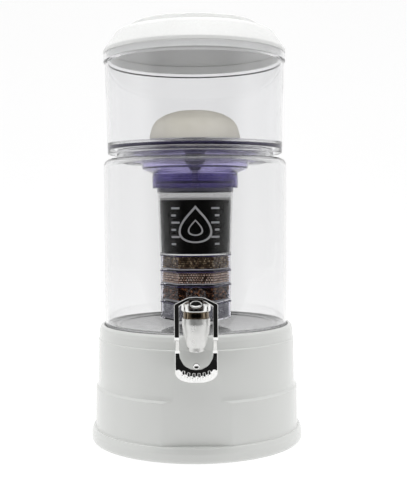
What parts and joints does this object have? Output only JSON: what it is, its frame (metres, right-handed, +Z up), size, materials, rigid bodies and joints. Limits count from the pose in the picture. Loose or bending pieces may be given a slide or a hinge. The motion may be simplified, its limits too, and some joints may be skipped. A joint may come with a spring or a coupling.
{
  "type": "gravity water filter with tap",
  "caption": "Countertop gravity water filter: clear upper tank with ceramic dome and hanging cartridge over a clear lower tank on a white stand, with a push-lever tap.",
  "frame": {"origin": "on the tanks' common vertical axis, in the plane the stand's foot rests on", "axes": "+Z up along the tanks' axis, -Y towards the user out of the front of the tap, +X to the right of the picture"},
  "size_m": [0.2882, 0.344, 0.562],
  "materials": {
    "white_plastic": "glossy moulded white plastic",
    "clear_plastic": "clear moulded plastic",
    "chrome_plate": "bright chrome plate",
    "steel": "turned stainless steel",
    "dark_plastic": "black moulded plastic",
    "seal_rubber": "silicone rubber",
    "violet_plastic": "violet see-through plastic",
    "lilac_plastic": "lilac see-through plastic",
    "ceramic": "fine unglazed ceramic",
    "dome_plastic": "white moulded plastic",
    "felt": "needled felt",
    "carbon": "granular carbon",
    "brown_granules": "crushed mineral granules",
    "tan_beads": "round ceramic beads",
    "red_granules": "crushed mineral granules",
    "pale_granules": "pale crushed quartz"
  },
  "bodies": {
    "stand": {"base_stand": "white_plastic", "stand_deck": "white_plastic", "stand_brace": "white_plastic"},
    "lower": {"lower_tank": "clear_plastic", "tap_body": "chrome_plate", "tap_gasket_outer": "seal_rubber", "tap_gasket_inner": "seal_rubber", "tap_nut": "steel", "tap_collar": "dark_plastic", "tap_bonnet": "chrome_plate", "lever_pin": "steel", "valve_spring": "steel"},
    "lever": {"tap_lever": "chrome_plate", "lever_button": "chrome_plate"},
    "valve": {"valve_stem": "steel", "valve_seal": "seal_rubber"},
    "upper": {"upper_tank": "clear_plastic", "mount_ring": "violet_plastic", "ceramic_dome": "ceramic", "dome_base": "dome_plastic", "dome_stem": "dome_plastic", "dome_washer": "seal_rubber", "floor_washer": "seal_rubber", "stem_nut": "dark_plastic"},
    "cartridge": {"cartridge_cap": "violet_plastic", "cap_seal": "seal_rubber", "cartridge_housing": "clear_plastic", "top_pad": "felt", "carbon_fill": "carbon", "stage_tray_a": "lilac_plastic", "stage_felt_a": "felt", "zeolite_fill": "brown_granules", "stage_tray_b": "lilac_plastic", "stage_felt_b": "felt", "ceramic_balls": "tan_beads", "stage_tray_c": "lilac_plastic", "stage_felt_c": "felt", "mineral_fill": "red_granules", "stage_tray_d": "lilac_plastic", "stage_felt_d": "felt", "quartz_fill": "pale_granules"},
    "lid": {"lid": "white_plastic"}
  },
  "joints": [
    {"name": "lower_lift", "type": "slide", "parent": "stand", "child": "lower", "axis": [0, 0, 1], "range_m": [0, 0.03]},
    {"name": "lever_push", "type": "hinge", "parent": "lower", "child": "lever", "pos_m": [0, -0.188, 0.2005], "axis": [1, 0, 0], "range_deg": [0, 10], "stiffness_Nm_per_rad": 1.5, "springref_deg": -6.88},
    {"name": "valve_lift", "type": "slide", "parent": "lower", "child": "valve", "axis": [0, 0, 1], "range_m": [0, 0.0016], "deforming": ["valve_spring"]},
    {"name": "upper_lift", "type": "slide", "parent": "lower", "child": "upper", "axis": [0, 0, 1], "range_m": [0, 0.24]},
    {"name": "cartridge_turn", "type": "hinge", "parent": "upper", "child": "cartridge", "pos_m": [0, 0, 0.35], "axis": [0, 0, -1], "range_deg": [0, 90]},
    {"name": "lid_lift", "type": "slide", "parent": "upper", "child": "lid", "axis": [0, 0, 1], "range_m": [0, 0.08]}
  ],
  "couplings": [
    {"joint": "valve_lift", "follows": "lever_push", "m_per_rad": 0.009}
  ]
}
